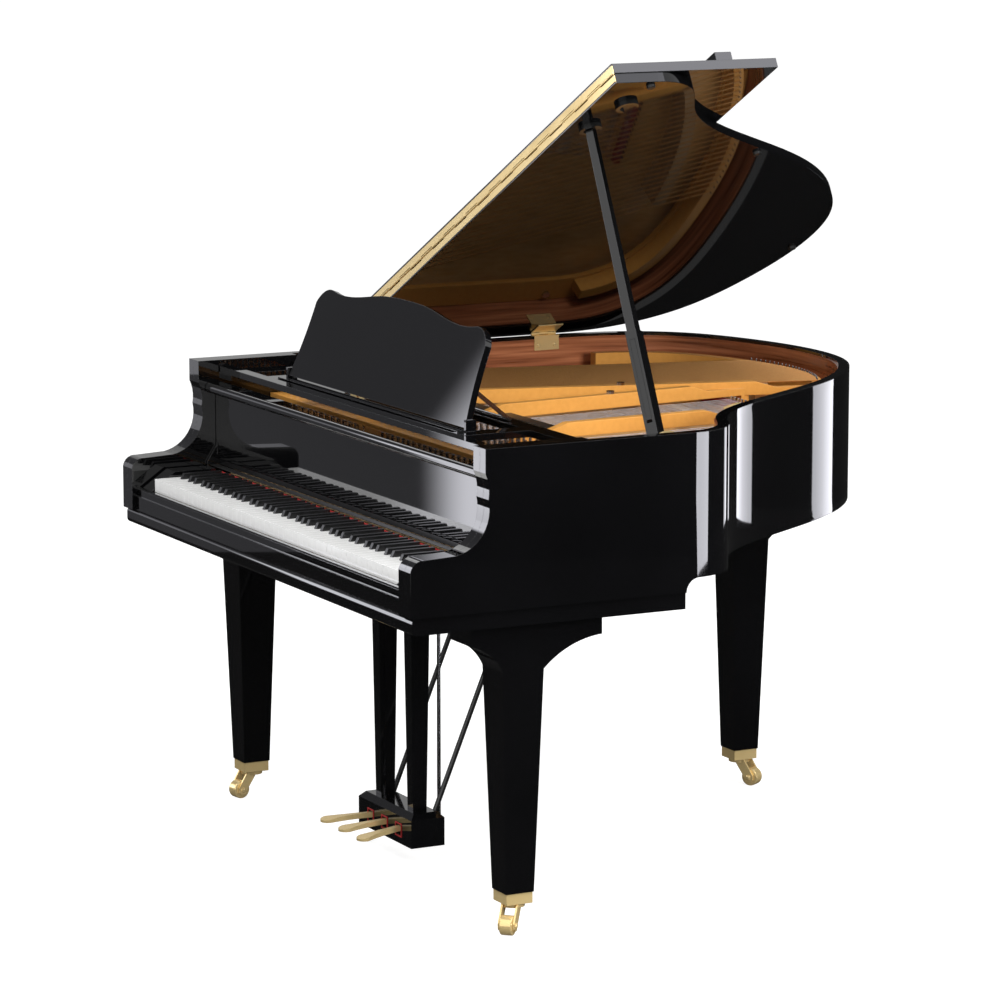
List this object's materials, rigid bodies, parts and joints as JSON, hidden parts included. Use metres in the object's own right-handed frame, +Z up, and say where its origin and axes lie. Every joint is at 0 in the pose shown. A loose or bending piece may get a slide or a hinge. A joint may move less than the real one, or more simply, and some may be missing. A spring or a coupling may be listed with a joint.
{
  "type": "baby grand piano",
  "caption": "Black lacquered baby grand piano with its curved lid propped open, front flap folded back, music desk raised, tapered legs on casters, and a pedal lyre.",
  "frame": {"origin": "on the floor below the middle of the case's width and depth", "axes": "+X to the treble end of the keyboard, +Y from the player to the tail, +Z up"},
  "size_m": [1.4745, 1.4838, 1.7177],
  "materials": {
    "black_lacquer": "high-gloss black polyester over wood",
    "mahogany": "satin striped mahogany veneer",
    "maple": "oiled maple",
    "spruce": "varnished spruce",
    "bronze_plate": "gold-bronze lacquered cast iron",
    "steel": "bright steel wire",
    "copper": "copper winding",
    "brass": "polished brass",
    "black_metal": "gloss black painted metal",
    "white_key": "glossy white key tops",
    "black_key": "satin black sharps",
    "red_felt": "red felt",
    "hammer_felt": "pale felt on wood",
    "damper_black": "black lacquered wood over felt"
  },
  "bodies": {
    "case": {"case_rim": "black_lacquer", "arm_cheeks": "black_lacquer", "rim_lining": "mahogany", "inner_rim": "maple", "case_braces": "spruce", "soundboard": "spruce", "soundboard_ribs": "spruce", "bridges": "maple", "pin_block": "maple", "iron_plate": "bronze_plate", "plate_bolts": "steel", "tuning_pins": "steel", "plain_strings": "steel", "wound_strings": "copper", "string_felts": "red_felt", "keybed": "black_lacquer", "key_slip": "black_lacquer", "key_blocks": "black_lacquer", "front_left_leg": "black_lacquer", "front_right_leg": "black_lacquer", "rear_leg": "black_lacquer", "leg_ferrules": "brass", "lyre_posts": "black_lacquer", "pedal_box": "black_lacquer", "lyre_braces": "black_metal", "rim_hinge_leaves": "brass", "prop_fittings": "brass", "desk_rails": "black_lacquer"},
    "lid": {"main_lid": "black_lacquer", "lid_hinge_leaves": "brass", "prop_cups": "black_metal"},
    "flap": {"front_flap": "black_lacquer", "flap_hinge_leaf": "brass"},
    "prop": {"lid_prop": "black_lacquer"},
    "half_prop": {"half_prop": "black_lacquer"},
    "fallboard": {"fallboard": "black_lacquer"},
    "tray": {"desk_tray": "black_lacquer"},
    "desk": {"music_desk": "black_lacquer"},
    "strut": {"desk_strut": "steel"},
    "action": {"key_frame": "maple", "action_rails": "maple"},
    "white_keys_a": {"white_keys_a": "white_key"},
    "white_keys_b": {"white_keys_b": "white_key"},
    "black_keys": {"black_keys": "black_key"},
    "hammers_a": {"hammers_a": "hammer_felt"},
    "hammers_b": {"hammers_b": "hammer_felt"},
    "hammers_black": {"hammers_black": "hammer_felt"},
    "dampers": {"dampers": "damper_black"},
    "left_pedal": {"left_pedal": "brass"},
    "left_rod": {"left_pedal_rod": "steel"},
    "middle_pedal": {"middle_pedal": "brass"},
    "middle_rod": {"middle_pedal_rod": "steel"},
    "right_pedal": {"right_pedal": "brass"},
    "right_rod": {"right_pedal_rod": "steel"},
    "front_left_fork": {"front_left_caster_fork": "brass"},
    "front_left_wheel": {"front_left_caster_wheel": "brass"},
    "front_right_fork": {"front_right_caster_fork": "brass"},
    "front_right_wheel": {"front_right_caster_wheel": "brass"},
    "rear_fork": {"rear_caster_fork": "brass"},
    "rear_wheel": {"rear_caster_wheel": "brass"}
  },
  "joints": [
    {"name": "lid_hinge", "type": "hinge", "parent": "case", "child": "lid", "pos_m": [-0.713, 0, 0.995], "axis": [0, -1, 0], "range_deg": [0, 7]},
    {"name": "flap_hinge", "type": "hinge", "parent": "lid", "child": "flap", "pos_m": [-0.09364, -0.206, 1.34911], "axis": [0.885, 0, 0.4656], "range_deg": [0, 180]},
    {"name": "prop_fold", "type": "hinge", "parent": "case", "child": "prop", "pos_m": [0.655, -0.159, 0.966], "axis": [-0.7097, -0.6195, -0.3355], "range_deg": [0, 73.22]},
    {"name": "half_prop_swing", "type": "hinge", "parent": "prop", "child": "half_prop", "pos_m": [0.64109, -0.16646, 1.0092], "axis": [0.7097, 0.6195, 0.3355], "range_deg": [0, 60]},
    {"name": "fallboard_hinge", "type": "hinge", "parent": "case", "child": "fallboard", "pos_m": [0, -0.549, 0.752], "axis": [1, 0, 0], "range_deg": [0, 90]},
    {"name": "desk_slide", "type": "slide", "parent": "case", "child": "tray", "axis": [0, 1, 0], "range_m": [0, 0.06]},
    {"name": "desk_tilt", "type": "hinge", "parent": "tray", "child": "desk", "pos_m": [0, -0.461, 0.988], "axis": [-1, 0, 0], "range_deg": [0, 66]},
    {"name": "strut_fold", "type": "hinge", "parent": "desk", "child": "strut", "pos_m": [0, -0.42148, 1.05349], "axis": [1, 0, 0], "range_deg": [0, 110]},
    {"name": "action_shift", "type": "slide", "parent": "case", "child": "action", "axis": [1, 0, 0], "range_m": [0, 0.0025]},
    {"name": "white_keys_a_dip", "type": "hinge", "parent": "action", "child": "white_keys_a", "pos_m": [0, -0.489, 0.7187], "axis": [1, 0, 0], "range_deg": [0, 2.6], "stiffness_Nm_per_rad": 12, "springref_deg": -5.73},
    {"name": "hammers_a_rise", "type": "hinge", "parent": "action", "child": "hammers_a", "pos_m": [0, -0.339, 0.83], "axis": [1, 0, 0], "range_deg": [0, 16.1]},
    {"name": "white_keys_b_dip", "type": "hinge", "parent": "action", "child": "white_keys_b", "pos_m": [0, -0.489, 0.7187], "axis": [1, 0, 0], "range_deg": [0, 2.6], "stiffness_Nm_per_rad": 12, "springref_deg": -5.73},
    {"name": "hammers_b_rise", "type": "hinge", "parent": "action", "child": "hammers_b", "pos_m": [0, -0.339, 0.83], "axis": [1, 0, 0], "range_deg": [0, 16.1]},
    {"name": "black_keys_dip", "type": "hinge", "parent": "action", "child": "black_keys", "pos_m": [0, -0.489, 0.7187], "axis": [1, 0, 0], "range_deg": [0, 2.6], "stiffness_Nm_per_rad": 12, "springref_deg": -5.73},
    {"name": "hammers_black_rise", "type": "hinge", "parent": "action", "child": "hammers_black", "pos_m": [0, -0.339, 0.83], "axis": [1, 0, 0], "range_deg": [0, 16.1]},
    {"name": "damper_lift", "type": "slide", "parent": "case", "child": "dampers", "axis": [0, 0, 1], "range_m": [0, 0.0061]},
    {"name": "left_pedal_swing", "type": "hinge", "parent": "case", "child": "left_pedal", "pos_m": [-0.068, -0.413, 0.079], "axis": [1, 0, 0], "range_deg": [0, 8.1], "stiffness_Nm_per_rad": 8, "springref_deg": -8.59},
    {"name": "left_rod_lift", "type": "slide", "parent": "case", "child": "left_rod", "axis": [0, 0, 1], "range_m": [0, 0.0085]},
    {"name": "middle_pedal_swing", "type": "hinge", "parent": "case", "child": "middle_pedal", "pos_m": [0, -0.413, 0.079], "axis": [1, 0, 0], "range_deg": [0, 8], "stiffness_Nm_per_rad": 8, "springref_deg": -8.59},
    {"name": "middle_rod_lift", "type": "slide", "parent": "case", "child": "middle_rod", "axis": [0, 0, 1], "range_m": [0, 0.0085]},
    {"name": "right_pedal_swing", "type": "hinge", "parent": "case", "child": "right_pedal", "pos_m": [0.068, -0.413, 0.079], "axis": [1, 0, 0], "range_deg": [0, 8], "stiffness_Nm_per_rad": 8, "springref_deg": -8.59},
    {"name": "right_rod_lift", "type": "slide", "parent": "case", "child": "right_rod", "axis": [0, 0, 1], "range_m": [0, 0.0085]},
    {"name": "front_left_swivel", "type": "hinge", "parent": "case", "child": "front_left_fork", "pos_m": [-0.64, -0.473, 0.0606], "axis": [0, 0, 1], "continuous": true},
    {"name": "front_left_roll", "type": "hinge", "parent": "front_left_fork", "child": "front_left_wheel", "pos_m": [-0.6341, -0.50648, 0.02], "axis": [0.9848, 0.1736, 0], "continuous": true},
    {"name": "front_right_swivel", "type": "hinge", "parent": "case", "child": "front_right_fork", "pos_m": [0.64, -0.473, 0.0606], "axis": [0, 0, 1], "continuous": true},
    {"name": "front_right_roll", "type": "hinge", "parent": "front_right_fork", "child": "front_right_wheel", "pos_m": [0.66404, -0.49704, 0.02], "axis": [0.7071, 0.7071, 0], "continuous": true},
    {"name": "rear_swivel", "type": "hinge", "parent": "case", "child": "rear_fork", "pos_m": [-0.242, 0.56499, 0.0606], "axis": [0, 0, 1], "continuous": true},
    {"name": "rear_roll", "type": "hinge", "parent": "rear_fork", "child": "rear_wheel", "pos_m": [-0.21256, 0.58199, 0.02], "axis": [-0.5, 0.866, 0], "continuous": true}
  ],
  "couplings": [
    {"joint": "strut_fold", "follows": "desk_tilt", "ratio": 1.6556},
    {"joint": "left_pedal_swing", "follows": "action_shift", "rad_per_m": 55.85},
    {"joint": "hammers_a_rise", "follows": "white_keys_a_dip", "ratio": 6.1538},
    {"joint": "hammers_b_rise", "follows": "white_keys_b_dip", "ratio": 6.1538},
    {"joint": "hammers_black_rise", "follows": "black_keys_dip", "ratio": 6.1538},
    {"joint": "damper_lift", "follows": "right_pedal_swing", "m_per_rad": 0.04297},
    {"joint": "left_rod_lift", "follows": "action_shift", "ratio": 3.351},
    {"joint": "middle_rod_lift", "follows": "middle_pedal_swing", "m_per_rad": 0.06},
    {"joint": "right_rod_lift", "follows": "right_pedal_swing", "m_per_rad": 0.06}
  ]
}
